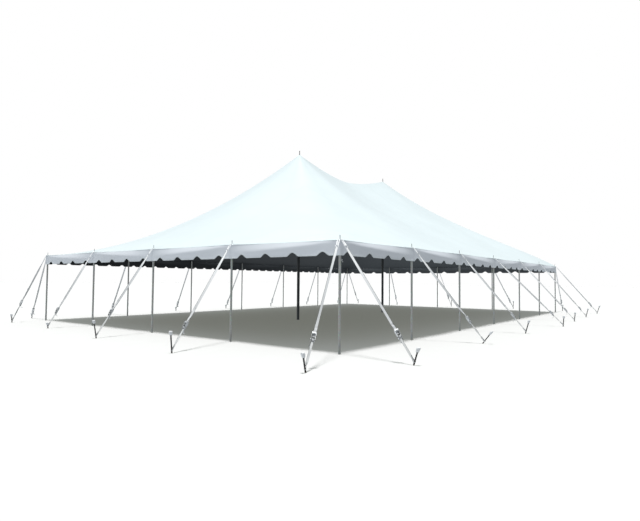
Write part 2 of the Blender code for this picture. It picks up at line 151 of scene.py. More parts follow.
class TentSizes(PropertyGroup):
    """Sizes of the tent top, the valances, the guys and the stakes."""

    bay: metres("Bay", "Distance between neighbouring side poles", HALF_X / 3)
    eave: metres("Eave", "Height of the fabric at a side pole", 2.240)
    corner_drop: metres("Corner drop", "How much lower the eave is at a corner", 0.020)
    eave_dip: metres("Eave dip", "Sag of the eave between two poles", 0.015)
    peak: metres("Peak", "Height of the fabric at the two peaks", 6.075)
    ridge_sag: metres("Ridge sag", "Sag of the ridge between the peaks", 0.526)
    overhang: metres("Overhang", "How far the fabric reaches past the pole line", 0.045)
    vinyl: metres("Vinyl", "Thickness of the coated fabric as it is drawn", 0.0025)
    roll: metres("Eave roll", "Radius over which the tent top turns down at the eave", 0.012)
    drape: metres("Drape", "How far the valance swells out a tenth of a metre below the eave", 0.060)
    valance: metres("Valance", "Height of the valance below the eave", 0.332)
    notch_width: metres("Notch width", "Width of a notch in a valance's lower edge", 0.320)
    notch_height: metres("Notch height", "Height of a notch in a valance's lower edge", 0.080)
    notch_shift: metres("Notch shift", "How far the front's notches are moved to the left", 0.170)
    back_notch_width: metres("Back notch width", "Width of a notch in the back valance", 0.210)
    back_notch_height: metres("Back notch height", "Height of a notch in the back valance", 0.055)
    binding: metres("Binding", "Width of the tape that binds the valance's lower edge", 0.030)
    strap: metres("Strap", "Width of the upper webbing strap", 0.050)
    lower_strap: metres("Lower strap", "Width of the strap between ratchet and stake", 0.040)
    webbing: metres("Webbing", "Thickness of one layer of webbing", 0.0026)
    tab: metres("Tab", "Length of the tab between the eave and the ring", 0.160)
    ring: metres("Ring", "Radius of the ring at the middle of its wire", 0.030)
    ring_wire: metres("Ring wire", "Radius of the ring's wire", 0.005)
    stake: metres("Stake", "Radius of the stake's shaft", 0.015)
    cap: metres("Stake cap", "Radius of the stake cap's wide upper end", 0.036)
    cap_height: metres("Cap height", "Height of the stake cap", 0.085)
    steps: IntProperty(name="Steps in a bay", description="Columns of the tent top's grid in one bay",
                       default=24, min=4, max=32)


class TentColours(PropertyGroup):
    """Colours of the fabrics, the metals and the floor."""

    vinyl: tint("Vinyl", "Outer face of the tent top", "#E8F2F3")
    # The valances are the same vinyl as the roof, drawn a little darker and bluer: painted shade on the
    # hanging sides.
    valance: tint("Valance", "Outer face of the valances", "#E5E9EE")
    # The inner faces' dark colours are painted shade: they stand in for the dim inside of the tent.
    coat: tint("Inner coat", "Dark inner face of the tent top", "#282B2D")
    valance_coat: tint("Valance coat", "Dark inner face of the valances", "#383B3D")
    binding: tint("Binding", "Tape on the valance's lower edge", "#E4EAED")
    webbing: tint("Webbing", "Upper straps", "#F4F5F5")
    # The tabs are the same webbing as the straps, drawn whiter: painted light on the tab legs, which lie in
    # shade under the eave.
    tab: tint("Tabs", "Webbing tabs at the eave", "#FAFBFB")
    lower_webbing: tint("Lower webbing", "Straps between ratchet and stake", "#F3F4F2")
    # Painted shade: a dark line along each edge of the webbing stands in for the shade at the strap's edges.
    selvedge: tint("Selvedge", "Edges of the webbing", "#6E716F")
    galvanised: tint("Galvanised steel", "Side poles", "#BABCB7")
    centre_pole: tint("Centre pole", "Painted centre poles", "#1F2323")
    zinc: tint("Zinc", "Ratchets, rings and washers", "#E2E4E4")
    spool: tint("Spool", "Oiled steel of the ratchets' spools and wheels", "#565958")
    stake: tint("Stake", "Forged stakes", "#454746")
    cap: tint("Stake cap", "Moulded caps of the stakes", "#F2F3F3")
    floor: tint("Floor", "Studio floor", "#D6D5D5")


# ---- Shapes: dicts of points, faces with their UVs in metres, closing faces and a material number ----

def unit(vectors):
    """Vectors divided by their own length."""
    return vectors / np.linalg.norm(vectors, axis=-1, keepdims=True)


def joined(*coordinates):
    """Coordinates put together as points. One that is a single number holds for every point."""
    return np.stack(np.broadcast_arrays(*coordinates), -1)


def angles(count):
    """Angles at even steps once round a circle, from 0."""
    return np.linspace(0, 2 * np.pi, count, endpoint=False)


def signed_power(wave, power):
    """A wave to a power, with its own sign kept."""
    return np.sign(wave) * np.abs(wave) ** power


def smooth_step(value):
    """3 * v^2 - 2 * v^3, with v held between 0 and 1."""
    value = np.clip(value, 0.0, 1.0)
    return value * value * (3.0 - 2.0 * value)


def lengths(path):
    """The length of a path up to each of its points."""
    return np.concatenate(([0.0], np.cumsum(np.linalg.norm(np.diff(path, axis=0), axis=1))))


def girth(outline):
    """The length round a closed outline up to each of its points, as a row."""
    return lengths(np.concatenate((outline, outline[:1])))[None]


def grid(points, across, down, wrap=False, ends=False, flip=False, slot=0):
    """The quads of a grid of points, rows by columns. wrap joins the last column to the first, ends closes
    the first and the last row with one face each, and flip turns the quads over. across and down give each
    point's UV, and where the grid wraps they have one column more than the points."""
    rows, columns = points.shape[:2]
    r, c = np.indices((rows - 1, columns if wrap else columns - 1))
    here, after = r * columns + c, r * columns + (c + 1) % columns
    quads = np.stack((here, after, after + columns, here + columns), -1)
    across = np.broadcast_to(across, (rows, columns + wrap))
    down = np.broadcast_to(down, (rows, columns + wrap))
    corners = ((r, c), (r, c + 1), (r + 1, c + 1), (r + 1, c))
    uv = np.stack([np.stack((across[at], down[at]), -1) for at in corners], -2)
    if flip:
        quads, uv = quads[..., ::-1], uv[..., ::-1, :]
    last = (rows - 1) * columns
    closing = [np.arange(columns)[::-1], np.arange(last, last + columns)] if ends else []
    return {"points": points.reshape(-1, 3), "quads": quads.reshape(-1, 4), "uv": uv.reshape(-1, 2),
            "closing": closing, "slot": slot}


def carried(path, side, outline, width=1.0, closed=False, slot=0):
    """A profile carried along a path: each point is the path's point, plus the profile's first number times
    the width along side, plus its second number along what is square to both side and the path."""
    if closed:
        ahead = np.roll(path, -1, axis=0) - np.roll(path, 1, axis=0)
        path = np.concatenate((path, path[:1]))
        forward = unit(np.concatenate((ahead, ahead[:1])))
    else:
        forward = unit(np.gradient(path, axis=0))
    side = np.broadcast_to(side, path.shape)
    side = unit(side - forward * (side * forward).sum(-1, keepdims=True))
    width = np.broadcast_to(width, (len(path),))[:, None, None]
    points = (path[:, None] + side[:, None] * outline[None, :, :1] * width
              + np.cross(side, forward)[:, None] * outline[None, :, 1:])
    return grid(points, girth(outline), lengths(path)[:, None], wrap=True, ends=not closed, slot=slot)


def bar_outline(width, thickness, corners):
    """A flat bar's section, a superellipse: cosine and sine, each to the power 0.4 with its own sign."""
    angle = angles(corners) + np.pi / corners
    return joined(width / 2 * signed_power(np.cos(angle), 0.4),
                  thickness / 2 * signed_power(np.sin(angle), 0.4))


def round_outline(radius, corners):
    """A round section: cosine and sine times the radius, which is one number or one for each corner."""
    return joined(radius * np.cos(angles(corners)), radius * np.sin(angles(corners)))


def plate(outline, thickness, origin, x_axis, y_axis, slot=0):
    """A flat plate: an outline in two axes, moved half the thickness both ways along their normal."""
    normal = np.cross(x_axis, y_axis)
    face = origin + outline[:, :1] * x_axis + outline[:, 1:] * y_axis
    points = np.stack((face - normal * thickness / 2, face + normal * thickness / 2))
    return grid(points, girth(outline), np.array([[0.0], [thickness]]), wrap=True, ends=True, slot=slot)


def turned(profile, base, axis, corners, slot=0, level=False, ends=True):
    """A profile of radius and height turned about an axis: base + axis * height + radius * (cosine, sine).
    With level, the circles stay level though the axis leans, as on a post cut level with the ground."""
    up = UP if level else unit(axis)
    x_axis = unit(np.cross(up, (0.0, 1.0, 0.3) if abs(up[1]) < 0.9 else (1.0, 0.0, 0.0)))
    circle = round_outline(1.0, corners) @ np.stack((x_axis, np.cross(up, x_axis)))
    profile = np.asarray(profile, float)
    points = base + profile[:, None, 1:] * axis + profile[:, None, :1] * circle[None]
    around = (np.arange(corners + 1) / corners * 2 * np.pi * profile[:, 0].max())[None]
    return grid(points, around, lengths(profile)[:, None], wrap=True, ends=ends, slot=slot)


def smooth_path(points, count, rounds):
    """Straight runs between the points, sampled evenly by length, and then each inner point averaged a few
    times with its two neighbours, which rounds the corners."""
    points = np.asarray(points, float)
    reach = lengths(points)
    at = np.linspace(0.0, reach[-1], count)
    path = np.stack([np.interp(at, reach, points[:, k]) for k in range(3)], -1)
    for _ in range(rounds):
        path[1:-1] = (path[:-2] + 2 * path[1:-1] + path[2:]) / 4
    return path


def piece(context, name, shapes, finishes, nodes=(), closed=True):
    """One object from several shapes, with its finishes by name. Doubled points are merged, closed shapes get
    their normals from their own form, and the piece rides on the tent and stands for its CAD nodes."""
    points, faces, uvs, numbers, start = [], [], [], [], 0
    for shape in shapes:
        points.append(shape["points"])
        faces += (shape["quads"] + start).tolist()
        uvs.append(shape["uv"])
        for ring in shape["closing"]:
            faces.append((ring + start).tolist())
            uvs.append(np.zeros((len(ring), 2)))
        numbers += [shape["slot"]] * (len(shape["quads"]) + len(shape["closing"]))
        start += len(shape["points"])
    mesh = bpy.data.meshes.new(name)
    mesh.from_pydata(np.concatenate(points).tolist(), [], faces)
    mesh.uv_layers.new(name="weave").data.foreach_set("uv", np.concatenate(uvs).ravel())
    mesh.polygons.foreach_set("material_index", numbers)
    work = bmesh.new()
    work.from_mesh(mesh)
    bmesh.ops.remove_doubles(work, verts=work.verts, dist=2e-6)
    if closed:
        bmesh.ops.recalc_face_normals(work, faces=work.faces)
    work.to_mesh(mesh)
    work.free()
    mesh.shade_smooth()
    mesh.set_sharp_from_angle(angle=math.radians(38.0 if closed else 60.0))
    for key in finishes:
        mesh.materials.append(finish(context, key))
    made = bpy.data.objects.new(name, mesh)
    context.scene.collection.objects.link(made)
    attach(made, "root")
    if nodes:
        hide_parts(*nodes)
    return made


def thicken(made, thickness):
    """Thickens a sheet inwards. Its inner face and edges take the material after the outer face's."""
    thick = made.modifiers.new("fabric", "SOLIDIFY")
    thick.thickness = thickness
    thick.offset = -1.0
    thick.material_offset = 1


def need_nodes(*names):
    """Raises where the frame lacks a CAD node that a piece is fitted to."""
    missing = [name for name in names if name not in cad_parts]
    if missing:
        raise RuntimeError(f"the frame has no node named {missing}")


# ---- Materials: each function adds its nodes, and gives what goes to the Principled shader's sockets ----

def fill(node, values):
    """Sets a node's inputs, by name or number, to a number or a colour, or links them to an output."""
    for key, value in values.items():
        if isinstance(value, bpy.types.NodeSocket):
            node.id_data.links.new(value, node.inputs[key])
        else:
            node.inputs[key].default_value = value


def add_node(tree, kind, values=None, out=0, stops=(), **settings):
    """Adds a shader node with its settings, its inputs and a ramp's stops, and gives one of its outputs."""
    made = tree.nodes.new("ShaderNode" + kind)
    for key, value in settings.items():
        setattr(made, key, value)
    for number, (position, colour) in enumerate(stops):
        made.color_ramp.elements[number].position = position
        made.color_ramp.elements[number].color = colour
    fill(made, values or {})
    return made.outputs[out]


def sockets(add, colour, bump=None, **others):
    """What goes to the Principled shader: the colour, a bump's strength, distance and height, and others."""
    values = {"Base Color": colour, **{key.replace("_", " "): value for key, value in others.items()}}
    if bump:
        values["Normal"] = add("Bump", dict(zip(("Strength", "Distance", "Height"), bump)))
    return values


def scaled(colour, share):
    """A colour with its red, green and blue multiplied."""
    return (*(v * share for v in colour[:3]), 1.0)


def mottled(add, space, colour, scale, detail, dark, light, roughness=0.5):
    """A noise, and a colour that runs with it between two shares of the given one: dark and light give each
    share and where on the noise it holds."""
    cloud = add("TexNoise", {"Vector": space, "Scale": scale, "Detail": detail, "Roughness": roughness})
    stops = [(at, scaled(colour, share)) for share, at in (dark, light)]
    return cloud, add("ValToRGB", {0: cloud}, stops=stops)


def vinyl_material(add, space, colour, bay, welded):
    """Block-out PVC vinyl, calendered over a woven scrim and welded from 1.52 m strips: a clean, slightly
    glossy white with a slight print of the scrim and, where it is welded, faint raised seams and a doubled
    patch at each side pole."""
    place = add("UVMap", uv_map="weave")
    _, base = mottled(add, space, colour, 0.55, 3.0, (0.965, 0.38), (1.0, 0.62), 0.55)
    # The scrim's threads are about 1 mm apart; they are drawn 12 mm apart so that they can show at all.
    threads = add("TexChecker", {0: place, 3: 1000 / 12}, out=1)
    creases = add("TexNoise", {"Vector": space, "Scale": 2.2, "Detail": 4.0, "Distortion": 0.6})
    height = 0.0
    if welded:
        along = add("SeparateXYZ", {0: place})
        strip, pole = (add("Math", {0: along, 1: bay / n}, operation="PINGPONG") for n in (4, 2))
        near = add("CombineXYZ", {0: pole, 1: along.node.outputs[1]})
        reach = add("VectorMath", {0: near}, out="Value", operation="LENGTH")
        seam, patch = (add("MapRange", {0: far, 1: half, 2: half + soft, 3: 1.0, 4: 0.0},
                           interpolation_type="SMOOTHSTEP")
                       for far, half, soft in ((strip, 0.020, 0.006), (reach, 0.300, 0.008)))
        doubled = add("Math", {0: seam, 1: patch}, operation="MAXIMUM")
        base = add("Mix", {0: doubled, 6: base, 7: scaled(colour, 0.95)}, out=2, data_type="RGBA")
        height = add("Math", {0: doubled, 1: 0.0012}, operation="MULTIPLY")
    for pattern, depth in ((creases, 0.008), (threads, 0.0001)):
        height = add("Math", {0: pattern, 1: depth, 2: height}, operation="MULTIPLY_ADD")
    return sockets(add, base, (0.35, 1.0, height), Roughness=0.42, IOR=1.52, Specular_IOR_Level=0.45)


def painted_shade_face_material(add, space, colour):
    """The fabric's inner face, drawn nearly black as painted shade for the dim inside of the tent: matt, with
    the scrim's grid just showing, 12 mm apart as on the outer face, and paler towards the right end as
    painted light."""
    _, base = mottled(add, space, colour, 1.3, 4.0, (0.82, 0.35), (1.0, 0.65))
    # Painted light: paler towards the right end, where the far inside of the tent looks lighter.
    far_end_painted_light = add("MapRange", {0: add("SeparateXYZ", {0: space}), 1: -3.0, 2: 8.0})
    base = add("Mix", {0: far_end_painted_light, 6: base, 7: scaled(colour, 2.4)}, out=2, data_type="RGBA")
    threads = add("TexChecker", {0: add("UVMap", uv_map="weave"), 3: 1000 / 12}, out=1)
    return sockets(add, base, (0.2, 0.0005, threads), Roughness=0.80, IOR=1.48, Specular_IOR_Level=0.25)


def woven_material(add, space, colour, rib, selvedge, width, edge_shade_colour=None):
    """Polyester webbing, woven with ribs across its width: matt, with shadowed gaps between the ribs, a
    darker line along each edge that paints the shade of the strap's edges, dust in places, and darker below
    chest height.
    rib is the spacing of the ribs as they are drawn, in metres."""
    across = add("SeparateXYZ", {0: add("UVMap", uv_map="weave")})
    wave = add("Math", {0: across.node.outputs[1], 1: rib / 2}, operation="PINGPONG")
    wave = add("MapRange", {0: wave, 2: rib / 2}, interpolation_type="SMOOTHSTEP")
    # Painted shade: a darker line along each edge of the strap.
    edge = add("Math", {0: across, 1: width}, operation="PINGPONG")
    edge = add("MapRange", {0: edge, 1: selvedge, 2: selvedge + 0.001, 3: 1.0, 4: 0.0},
               interpolation_type="SMOOTHSTEP")
    _, base = mottled(add, space, colour, 7.0, 5.0, (0.93, 0.30), (1.0, 0.60), 0.6)
    base = add("Mix", {0: wave, 6: scaled(colour, 0.91), 7: base}, out=2, data_type="RGBA")
    base = add("Mix", {0: edge, 6: base, 7: edge_shade_colour or scaled(colour, 0.8)}, out=2, data_type="RGBA")
    # Darker below chest height.
    lower_darkening = add("MapRange", {0: add("SeparateXYZ", {0: space}, out=2), 1: 0.85, 2: 1.75, 3: 0.74, 4: 1.0})
    base = add("Mix", {0: 1.0, 6: base, 7: lower_darkening}, out=2, data_type="RGBA", blend_type="MULTIPLY")
    return sockets(add, base, (0.5, 0.0006, wave), Roughness=0.78, IOR=1.50, Sheen_Weight=0.15,
                   Sheen_Roughness=0.5)


def galvanised_material(add, space, colour):
    """Steel tube, hot-dip galvanised: dull grey zinc in spangles about 15 mm across, with paler drips along
    the tube and darker handling marks near the ground."""
    spangle = add("TexVoronoi", {"Vector": space, "Scale": 1000 / 15}, out="Color")
    tall = add("Mapping", {0: space, 3: (40.0, 40.0, 1.6)})
    drips, base = mottled(add, tall, colour, 1.0, 4.0, (0.74, 0.32), (1.0, 0.66))
    base = add("Mix", {0: 0.25, 6: base, 7: spangle}, out=2, data_type="RGBA", blend_type="SOFT_LIGHT")
    mud = add("MapRange", {0: add("SeparateXYZ", {0: space}, out=2), 1: 0.02, 2: 0.30, 3: 0.55, 4: 0.0})
    base = add("Mix", {0: mud, 6: base, 7: scaled(colour, 0.42)}, out=2, data_type="RGBA")
    dull = add("MapRange", {0: drips, 1: 0.3, 2: 0.7, 3: 0.42, 4: 0.62})
    return sockets(add, base, (0.25, 0.0004, spangle.node.outputs["Distance"]), Metallic=0.25, Roughness=dull)


def painted_pole_material(add, space, colour):
    """Steel tube, dip-painted near black: satin paint with a slight orange peel, rubbed greyer in long
    streaks where the pole slides through its fittings."""
    tall = add("Mapping", {0: space, 3: (30.0, 30.0, 0.9)})
    rubbed = add("TexNoise", {"Vector": tall, "Scale": 1.0, "Detail": 6.0})
    worn = (*(v * 2.2 + 0.004 for v in colour[:3]), 1.0)
    base = add("ValToRGB", {0: rubbed}, stops=((0.52, colour), (0.78, worn)))
    peel = add("TexNoise", {"Vector": space, "Scale": 1000 / 8, "Detail": 2.0})
    return sockets(add, base, (0.2, 0.0003, peel), Roughness=0.44, IOR=1.50)


def zinc_material(add, space, colour):
    """Pressed steel, bright zinc plated: a pale silky metal with a cloudy tone and darker grime in patches
    about 18 mm across."""
    cloud, base = mottled(add, space, colour, 1000 / 18, 5.0, (0.70, 0.30), (1.0, 0.58))
    silk = add("MapRange", {0: cloud, 1: 0.3, 2: 0.7, 3: 0.50, 4: 0.28})
    return sockets(add, base, Metallic=0.40, Roughness=silk)


def forged_material(add, space, colour):
    """Forged steel bar with its mill scale in flakes about 30 mm across: dark blue-grey, rough, with brown
    rust where it meets the ground."""
    flakes, base = mottled(add, space, colour, 1000 / 30, 6.0, (0.55, 0.35), (1.9, 0.68))
    rust = add("MapRange", {0: add("SeparateXYZ", {0: space}, out=2), 1: 0.0, 2: 0.16, 3: 0.7, 4: 0.05})
    base = add("Mix", {0: rust, 6: base, 7: (*linear("#4A3A30"), 1.0)}, out=2, data_type="RGBA")
    return sockets(add, base, (0.5, 0.001, flakes), Metallic=0.45, Roughness=0.66)


def cap_material(add, space, colour):
    """Injection-moulded natural polyethylene: milky white and silky, with 12 mm scuffs from the hammer."""
    scuffs, base = mottled(add, space, colour, 1000 / 12, 6.0, (0.80, 0.34), (1.0, 0.52))
    return sockets(add, base, (0.3, 0.0005, scuffs), Roughness=0.48, IOR=1.51, Specular_IOR_Level=0.4)


def floor_material(add, space, colour):
    """Matt translucent studio floor, lit a little from below: plain and pale, with a barely visible roller
    texture and soft shadows that never go black."""
    _, base = mottled(add, space, colour, 3.0, 2.0, (0.985, 0.3), (1.0, 0.7))
    return sockets(add, base, Roughness=0.9, Specular_IOR_Level=0.0,
                   Emission_Color=(0.146, 0.150, 0.127, 1.0), Emission_Strength=1.0)


# Each finish: its function, its colour, and what else the function takes, by name for a size or a colour.
FINISHES = {
    "blockout_vinyl_roof": (vinyl_material, "vinyl", "bay", True),
    "blockout_vinyl_valance": (vinyl_material, "valance", "bay", False),
    # Painted shade: the near-black inner faces of the top and the valances.
    "blockout_coat": (painted_shade_face_material, "coat"),
    "blockout_coat_valance": (painted_shade_face_material, "valance_coat"),
    # The tape's ribs are about 2 mm apart and the webbing's 1.5 mm; 8 mm and 5 mm let them show.
    "woven_binding_tape": (woven_material, "binding", 0.008, 0.0020, 1.0),
    "woven_polyester_webbing": (woven_material, "webbing", 0.005, 0.0055, "strap", "selvedge"),
    "woven_tab_webbing": (woven_material, "tab", 0.005, 0.0010, TAB_WIDTH),
    "woven_lower_webbing": (woven_material, "lower_webbing", 0.005, 0.0035, "lower_strap", "selvedge"),
    "hot_dip_galvanised_tube": (galvanised_material, "galvanised"),
    "painted_steel_pole": (painted_pole_material, "centre_pole"),
    "zinc_plated_steel": (zinc_material, "zinc"),
    "oiled_steel_spool": (forged_material, "spool"),
    "forged_steel_stake": (forged_material, "stake"),
    "moulded_polyethylene_cap": (cap_material, "cap"),
    "painted_studio_floor": (floor_material, "floor"),
}


def finish(context, name):
    """The material of this name, made when it is first asked for."""
    made = bpy.data.materials.get(name)
    if not made:
        sizes, colours = context.scene.event_tent_sizes, context.scene.event_tent_colours
        maker, colour, *rest = FINISHES[name]
        rest = [getattr(sizes, key, None) or (*getattr(colours, key), 1.0) if isinstance(key, str) else key
                for key in rest]
        made = bpy.data.materials.new(name)
        made.use_nodes = True
        add = partial(add_node, made.node_tree)
        values = maker(add, add("TexCoord", out="Object"), (*getattr(colours, colour), 1.0), *rest)
        fill(made.node_tree.nodes["Principled BSDF"], values)
    return made


# ---- The tent top ----

def part_of_bay(sizes, along, half):
    """How far a place is between two poles, 0 to 1, counted from the nearer corner."""
    return ((half - np.abs(along)) / sizes.bay) % 1.0


def eave_height(sizes, along, half):
    """The eave's height: the full height less a dip between poles, 4 * part * (1 - part), and less a drop
    that fades over the first bay from a corner."""
    part = part_of_bay(sizes, along, half)
    corner = np.maximum(0.0, 1.0 - (half - np.abs(along)) / sizes.bay)
    return sizes.eave - sizes.eave_dip * 4.0 * part * (1.0 - part) - sizes.corner_drop * corner


def share_left(distance, steep, power):
    """The share of the height left at a distance from the peak: steep * rest^4 + (1 - steep) * rest^power."""
    rest = np.maximum(0.0, 1.0 - distance)
    return steep * rest ** 4 + (1.0 - steep) * rest ** power


def soft_least(first, second, radius):
    """The lesser of two numbers. Where they differ by less than the radius, it is lowered by the square of
    what is left of the radius over 4 * radius, which rounds the corner where they cross."""
    left = np.maximum(radius - np.abs(first - second), 0.0)
    return np.minimum(first, second) - left ** 2 / (4.0 * radius)


def top_height(sizes, x, y):
    """The tent top's height over a point of the plan. Distance runs from 0 on the spine between the peaks to
    1 at the eave: the greater of the shares of the way along X and along Y, with the corner at the hips
    rounded. The slope's curve is one for the middles of the sides and another for the hips, blended by how
    near the point is to a hip. The ridge sags between the peaks, and the fold that each peak starts is
    rounded down the slope."""
    run = HALF_Y + sizes.overhang
    out_x = np.maximum(np.abs(x) - sizes.bay, 0.0) / (HALF_X - sizes.bay + sizes.overhang)
    out_y = np.abs(y) / run
    middle = (out_x + out_y) / 2
    rounding = 0.5 * middle * (1.0 - middle ** 2) + 1e-6
    distance = np.clip(-soft_least(-out_x, -out_y, rounding), 0.0, 1.0)
    ratio = np.minimum(out_x, out_y) / np.maximum(np.maximum(out_x, out_y), 1e-9)
    hip = 1.0 - (1.0 - ratio ** HIP_POWER) ** 2
    down_hip = distance - hip * np.minimum(rounding / 4, (1.0 - distance) / 2)
    on_hip = np.where(x < 0, share_left(down_hip, *LEFT_HIP), share_left(down_hip, *RIGHT_HIP))
    share = share_left(distance, *MIDDLE_SLOPE) * (1.0 - hip) + on_hip * hip
    rise = soft_least((np.abs(x) / sizes.bay) ** RIDGE_POWER, 1.0, 0.004 + out_y)
    ridge = sizes.peak - sizes.ridge_sag * (1.0 - rise)
    eave = np.where(out_y >= out_x, eave_height(sizes, np.clip(x, -HALF_X, HALF_X), HALF_X),
                    eave_height(sizes, np.clip(y, -HALF_Y, HALF_Y), HALF_Y))
    low = sizes.eave + (eave - sizes.eave) * np.exp(-(1.0 - distance) * run / DIP_REACH)
    return low + (ridge - sizes.eave) * share


def last_turn(sizes, along, half):
    """The angle through which the eave's roll turns down: a quarter turn at a pole, and between poles less by
    the slope at which the valance swells out there, so that the two faces run on."""
    between = np.sin(np.pi * part_of_bay(sizes, along, half) ** SWELL_POWER)
    return np.pi / 2 - np.arctan(sizes.drape / DRAPE_STEP * between)


def make_top(context):
    """The tent top as one continuous sheet, in columns once round the eave from the front left corner. A
    point at the share s of the way from the spine to the eave has its height from top_height. Within the roll
    radius of the eave it also drops along an arc, so that the fabric turns over the edge, and a short flap
    goes on straight from the arc's end."""
    sizes = context.scene.event_tent_sizes
    step = sizes.bay / sizes.steps
    xs, ys = (np.arange(-half, half - step / 2, step) for half in (HALF_X, HALF_Y))
    x = np.concatenate((xs, np.full(len(ys), HALF_X), -xs, np.full(len(ys), -HALF_X)))
    y = np.concatenate((np.full(len(xs), -HALF_Y), ys, np.full(len(xs), HALF_Y), -ys))
    long_side = np.concatenate((np.ones(len(xs), bool), np.zeros(len(ys), bool)) * 2)
    far_x = np.where(np.abs(x) > HALF_X - 1e-6, x + np.sign(x) * sizes.overhang, x)
    far_y = np.where(np.abs(y) > HALF_Y - 1e-6, y + np.sign(y) * sizes.overhang, y)
    spine_x = np.clip(x, -sizes.bay, sizes.bay)
    run = HALF_Y + sizes.overhang
    slope = (1.0 - (1.0 - np.linspace(0.0, 1.0, 58)) ** 1.25)[:, None]
    slope = slope * np.full(len(x), 1.0 - sizes.roll / run)
    end = np.where(long_side, last_turn(sizes, x, HALF_X), last_turn(sizes, y, HALF_Y))
    turn = np.linspace(0.0, 1.0, 10)[1:, None] * end
    shares = np.concatenate((slope, 1.0 - sizes.roll * (1.0 - np.sin(turn)) / run))
    drop = np.concatenate((np.zeros(slope.shape), sizes.roll * (1.0 - np.cos(turn))))
    px, py = spine_x + (far_x - spine_x) * shares, far_y * shares
    pz = top_height(sizes, px, py) - drop
    onward = FLAP * np.cos(end)
    flap = joined(px[-1] + np.where(long_side, 0.0, np.sign(px[-1]) * onward),
                  py[-1] + np.where(long_side, np.sign(py[-1]) * onward, 0.0), pz[-1] - FLAP * np.sin(end))
    points = np.concatenate((joined(px, py, pz), flap[None]))
    # The UV runs along the eave and up the slope from it, so the strips' seams run up from the eave.
    steps = np.linalg.norm(np.diff(points, axis=0), axis=-1)
    up = np.concatenate((np.cumsum(steps[::-1], axis=0)[::-1], np.zeros((1, len(x)))))
    across = np.where(long_side, points[..., 0], points[..., 1])
    across, up = (np.concatenate((values, values[:, :1]), axis=1) for values in (across, up))
    top = piece(context, "tent_top_fabric", [grid(points + MIDDLE, across, up, wrap=True, flip=True)],
                ("blockout_vinyl_roof", "blockout_coat"), ["tent_top"], closed=False)
    thicken(top, sizes.vinyl)


# ---- Valances ----

def notch_lift(sizes, along, side):
    """The lift of the lower edge: notch height times cosine to the power 1.5, within half a notch of its
    middle, four notches to a bay, and on the back six smaller ones. The front's are moved towards the left
    corner."""
    pitch, width, height = sizes.bay / 4, sizes.notch_width, sizes.notch_height
    if side == "back":
        pitch, width, height = sizes.bay / 6, sizes.back_notch_width, sizes.back_notch_height
    off = (along + (sizes.notch_shift if side == "front" else 0.0)) % pitch - pitch / 2
    return height * np.maximum(np.cos(np.pi * np.clip(off / width, -0.5, 0.5)), 0.0) ** 1.5


def make_valance(context, side):
    """A valance as a hung sheet. Its first parameter runs along the side, and the second from the eave's roll
    to the lower edge, where the last rows follow the notched outline at a fixed distance, for the binding. It
    hangs flush under the roll between poles and steps a few millimetres behind it near them. Between poles it
    swells out evenly below the eave, down to a diagonal line 0.03 + 0.14 * part below it, and draws in again
    below that line; shallow folds grow towards the lower edge."""
    sizes = context.scene.event_tent_sizes
    outward, along_axis, across, half = SIDES[side]
    reach = half + PAST_CORNER[half]
    u = np.linspace(-reach, reach, round(2 * half / VALANCE_STEP) + 1)
    at = np.clip(u, -half, half)
    hem = sizes.eave - sizes.valance + notch_lift(sizes, u + half, side)
    slope = np.gradient(hem, u)
    inward = sizes.binding / np.sqrt(1.0 + slope ** 2)
    part = part_of_bay(sizes, at, half)
    snug = smooth_step((1.10 - np.minimum(part, 1.0 - part) * sizes.bay) / 0.70)
    end = last_turn(sizes, at, half)
    edge = sizes.overhang - sizes.roll * (1.0 - np.sin(end)) + FLAP * np.cos(end)
    top = (eave_height(sizes, at, half) - sizes.roll * (1.0 - np.cos(end)) - FLAP * np.sin(end) - HANG_GAP
           + 0.0080 * np.clip((snug - 0.75) / 0.25, 0.0, 1.0))
    # Rows of the fabric down to the binding, and then the binding's own rows, as shares of its width.
    down = np.linspace(0.0, 1.0, 21)[:, None] ** 1.2
    band = 1.0 - np.array((0.06, 0.5, 1.0))[:, None]
    place = u - slope * inward * np.concatenate((down, band))
    height = np.concatenate((top + (hem + inward - top) * down, hem + inward * band))
    below = np.clip(sizes.eave - height, 0.0, sizes.valance)
    under_roll = np.clip(top + HANG_GAP - height, 0.0, sizes.valance)
    fade = np.clip((reach - np.abs(place)) / 0.25, 0.0, 1.0)
    fold = 0.5 - 0.5 * np.cos(2 * np.pi * (place + half) / (sizes.bay / 4) + 0.7 * np.sin(place * 1.7))
    sway = 0.5 + 0.5 * np.sin(place * 2.3 + 1.0)
    line = 0.030 + 0.140 * part
    swell = soft_least(under_roll / line, 1.0, 0.35)
    swell = swell - 0.50 * smooth_step((under_roll - line) / (sizes.valance - line))
    swell = swell * np.sin(np.pi * part ** SWELL_POWER) * line / DRAPE_STEP * sizes.drape
    folds = (below / sizes.valance) ** 1.5 * (0.006 * fold + 0.004 * sway)
    out = edge - 0.0050 * snug + fade * (folds + swell)
    out[-3:] += 0.0007
    points = (MIDDLE + place[..., None] * along_axis + (across + out)[..., None] * outward
              + height[..., None] * UP)
    flip = np.dot(np.cross(along_axis, -UP), outward) < 0
    shape = grid(points, place, height - sizes.eave - 1.0, flip=flip)
    keys = ("blockout_vinyl_valance", "blockout_coat_valance", "woven_binding_tape", "blockout_coat_valance")
    made = piece(context, f"valance_{side}_fabric", [shape], keys, [f"valance_{side}"],
                 closed=False)
    numbers = np.zeros((len(place) - 1, len(u) - 1), int)
    numbers[-2:] = 2
    made.data.polygons.foreach_set("material_index", numbers.ravel())
    thicken(made, sizes.vinyl)


# ---- Poles and fittings ----

